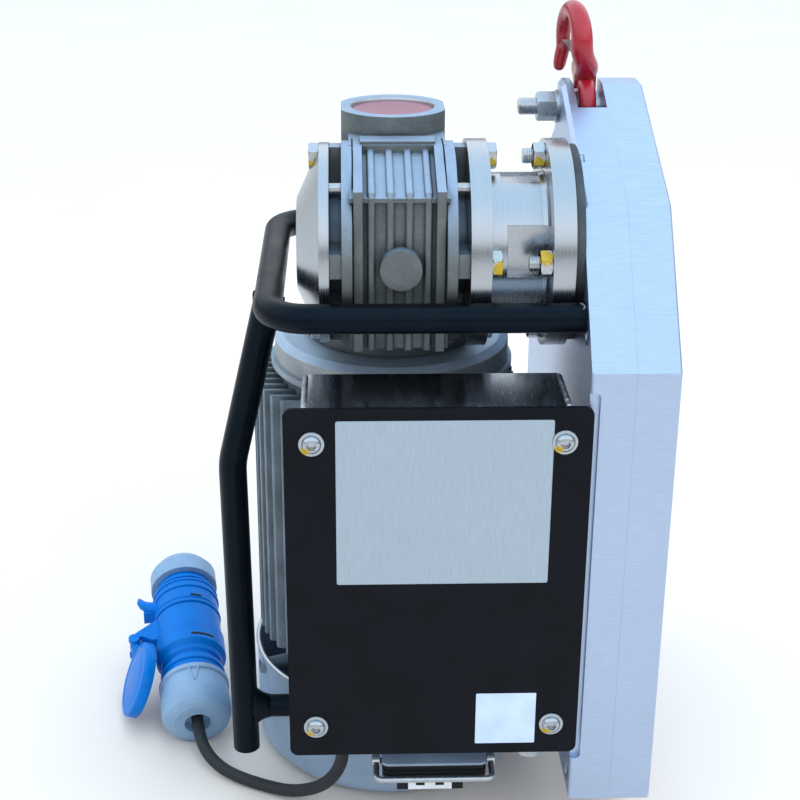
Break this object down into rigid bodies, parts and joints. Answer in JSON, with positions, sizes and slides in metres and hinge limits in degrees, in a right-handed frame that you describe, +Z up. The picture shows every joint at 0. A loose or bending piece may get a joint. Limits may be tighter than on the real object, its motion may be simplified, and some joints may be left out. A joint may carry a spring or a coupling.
{
  "type": "electric wire rope winch",
  "caption": "Portable electric wire rope winch: upright finned motor and worm gearbox beside a flat two-shell traction case with a swinging top hook, control box, tubular handle and plug.",
  "frame": {"origin": "middle of the winch's bounding box without its cord, on the floor under the fan cowl", "axes": "+Z up along the motor, +X to the right towards the traction case, +Y from the control box to the back"},
  "size_m": [0.4013, 0.3456, 0.5814],
  "materials": {
    "machined_aluminium": "machined",
    "cast_aluminium": "sand cast",
    "cowl_paint": "satin paint",
    "black_coat": "satin powder coat",
    "box_steel": "brushed",
    "zinc_steel": "zinc plated",
    "red_paint": "gloss paint",
    "latch_steel": "zinc plated",
    "gear_steel": "ground",
    "bronze": "machined",
    "fan_plastic": "moulded",
    "connector_grey": "satin",
    "connector_black": "moulded",
    "connector_white": "moulded",
    "blue_plastic": "moulded",
    "grey_plastic": "moulded",
    "cord_rubber": "matt"
  },
  "bodies": {
    "base": {"arm_pivot": "gear_steel", "axle_collars": "gear_steel", "bell_studs": "zinc_steel", "blind_plug": "zinc_steel", "box_cover": "black_coat", "cable_gland": "connector_black", "carry_bar": "black_coat", "case_left_shell": "machined_aluminium", "case_right_shell": "machined_aluminium", "case_screws": "zinc_steel", "connector_base": "connector_black", "connector_frame": "connector_black", "connector_hood": "connector_grey", "connector_insert": "connector_white", "control_box": "box_steel", "coupler_body": "blue_plastic", "coupler_nut": "grey_plastic", "cover_screws": "zinc_steel", "cowl_screws": "zinc_steel", "drive_bell": "machined_aluminium", "fan_cowl": "cowl_paint", "foot_screws": "zinc_steel", "gearbox_cap": "machined_aluminium", "gearbox_housing": "cast_aluminium", "gearbox_screws": "zinc_steel", "guard_stay": "black_coat", "guard_tube": "black_coat", "hook_spacers": "zinc_steel", "motor_end_shield": "cast_aluminium", "motor_housing": "cast_aluminium", "motor_lower_shield": "cast_aluminium", "output_bearings": "gear_steel", "output_flange": "machined_aluminium", "plug_body": "blue_plastic", "plug_nut": "grey_plastic", "rope_guide": "gear_steel", "shaft_bearings": "gear_steel", "sheave_axle": "gear_steel", "stator": "gear_steel", "supply_cord": "cord_rubber", "suspension_bolt": "zinc_steel", "suspension_nut": "zinc_steel", "window_studs": "zinc_steel", "worm_cap": "red_paint"},
    "drive": {"output_shaft": "gear_steel", "worm_wheel": "bronze", "pinion": "gear_steel"},
    "rotor": {"rotor_shaft": "gear_steel", "rotor_core": "gear_steel", "fan": "fan_plastic"},
    "sheave": {"traction_sheave": "gear_steel", "driven_gear": "gear_steel"},
    "hook": {"hook": "red_paint"},
    "latch": {"hook_latch": "latch_steel"},
    "arm": {"pressure_arm": "gear_steel"},
    "roller": {"pressure_roller": "gear_steel"},
    "striker": {"limit_striker": "gear_steel"},
    "lever": {"locking_lever": "zinc_steel"},
    "lid": {"coupler_lid": "blue_plastic"}
  },
  "joints": [
    {"name": "rotor_turn", "type": "hinge", "parent": "base", "child": "rotor", "pos_m": [-0.02809, 0.0068, 0.3], "axis": [0, 0, 1], "continuous": true},
    {"name": "drive_turn", "type": "hinge", "parent": "base", "child": "drive", "pos_m": [0.04561, -0.0482, 0.43], "axis": [1, 0, 0], "continuous": true},
    {"name": "sheave_turn", "type": "hinge", "parent": "base", "child": "sheave", "pos_m": [0.11461, -0.0482, 0.29], "axis": [1, 0, 0], "continuous": true},
    {"name": "hook_swing", "type": "hinge", "parent": "base", "child": "hook", "pos_m": [0.11461, 0.0518, 0.504], "axis": [1, 0, 0], "range_deg": [-45, 30]},
    {"name": "latch_swing", "type": "hinge", "parent": "hook", "child": "latch", "pos_m": [0.11461, 0.0658, 0.53], "axis": [1, 0, 0], "range_deg": [0, 50], "stiffness_Nm_per_rad": 0.03, "springref_deg": -22.92},
    {"name": "arm_swing", "type": "hinge", "parent": "base", "child": "arm", "pos_m": [0.11461, 0.0968, 0.35], "axis": [1, 0, 0], "range_deg": [0, 8], "stiffness_Nm_per_rad": 8, "springref_deg": -5.73},
    {"name": "roller_turn", "type": "hinge", "parent": "arm", "child": "roller", "pos_m": [0.11461, 0.0753, 0.29], "axis": [1, 0, 0], "continuous": true},
    {"name": "striker_slide", "type": "slide", "parent": "base", "child": "striker", "axis": [0, 0, 1], "range_m": [0, 0.006], "stiffness_N_per_m": 600, "springref_m": -0.004},
    {"name": "lever_swing", "type": "hinge", "parent": "base", "child": "lever", "pos_m": [-0.00039, -0.1352, 0.062], "axis": [1, 0, 0], "range_deg": [-30, 0]},
    {"name": "lid_swing", "type": "hinge", "parent": "base", "child": "lid", "pos_m": [-0.24223, 0.05151, 0.04661], "axis": [0.0405, -0.2592, 0.965], "range_deg": [-40, 0], "stiffness_Nm_per_rad": 0.05, "springref_deg": 20.05}
  ],
  "couplings": [
    {"joint": "drive_turn", "follows": "rotor_turn", "ratio": 0.033333},
    {"joint": "sheave_turn", "follows": "rotor_turn", "ratio": -0.011538}
  ]
}
